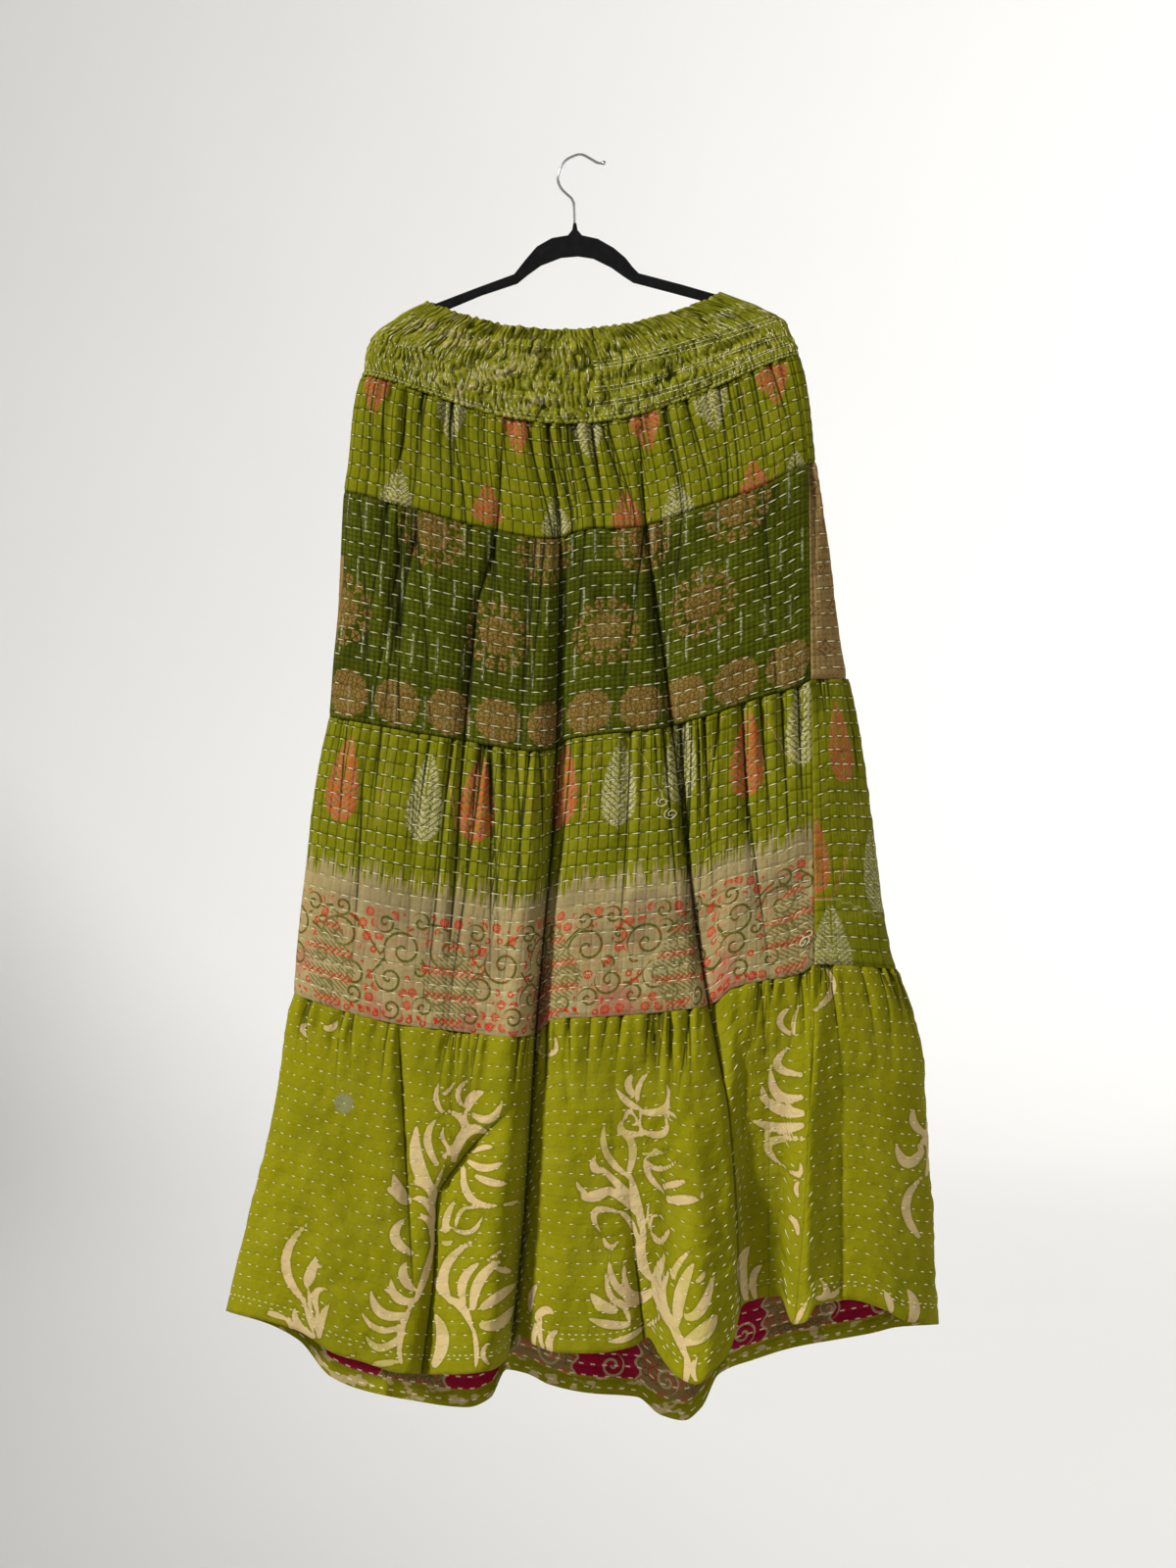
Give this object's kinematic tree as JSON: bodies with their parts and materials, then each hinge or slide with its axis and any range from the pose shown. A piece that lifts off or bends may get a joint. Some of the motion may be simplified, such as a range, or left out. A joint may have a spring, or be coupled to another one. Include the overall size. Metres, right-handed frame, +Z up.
{
  "type": "maxi skirt on hanger",
  "caption": "Full-length tiered skirt of quilted, hand-stitched cotton with a smocked elastic waist and a flared, turned-up hem, hung over a slim velvet hanger with a wire hook.",
  "frame": {"origin": "inner top of the hook's bend, where a peg or rail carries the hanger", "axes": "+Z up, +X to the right seen from in front, +Y from the front of the skirt to its back"},
  "size_m": [0.7559, 0.1327, 1.35],
  "materials": {
    "velvet": "flocked velvet",
    "hook_wire": "polished wire",
    "band_cloth": "smocked cotton",
    "lime_cloth": "quilted cotton",
    "dark_green_cloth": "quilted cotton",
    "bordered_cloth": "quilted cotton",
    "branch_cloth": "quilted cotton",
    "thread": "cotton thread"
  },
  "bodies": {
    "root": {"hanger_body": "velvet", "hanger_hook": "hook_wire", "waistband": "band_cloth", "tier1_front": "lime_cloth", "tier1_back": "lime_cloth", "tier2_front": "dark_green_cloth", "tier2_back": "dark_green_cloth", "tier3_front": "bordered_cloth", "tier3_back": "bordered_cloth", "tier4_front": "branch_cloth", "tier4_back": "branch_cloth"}
  },
  "joints": []
}
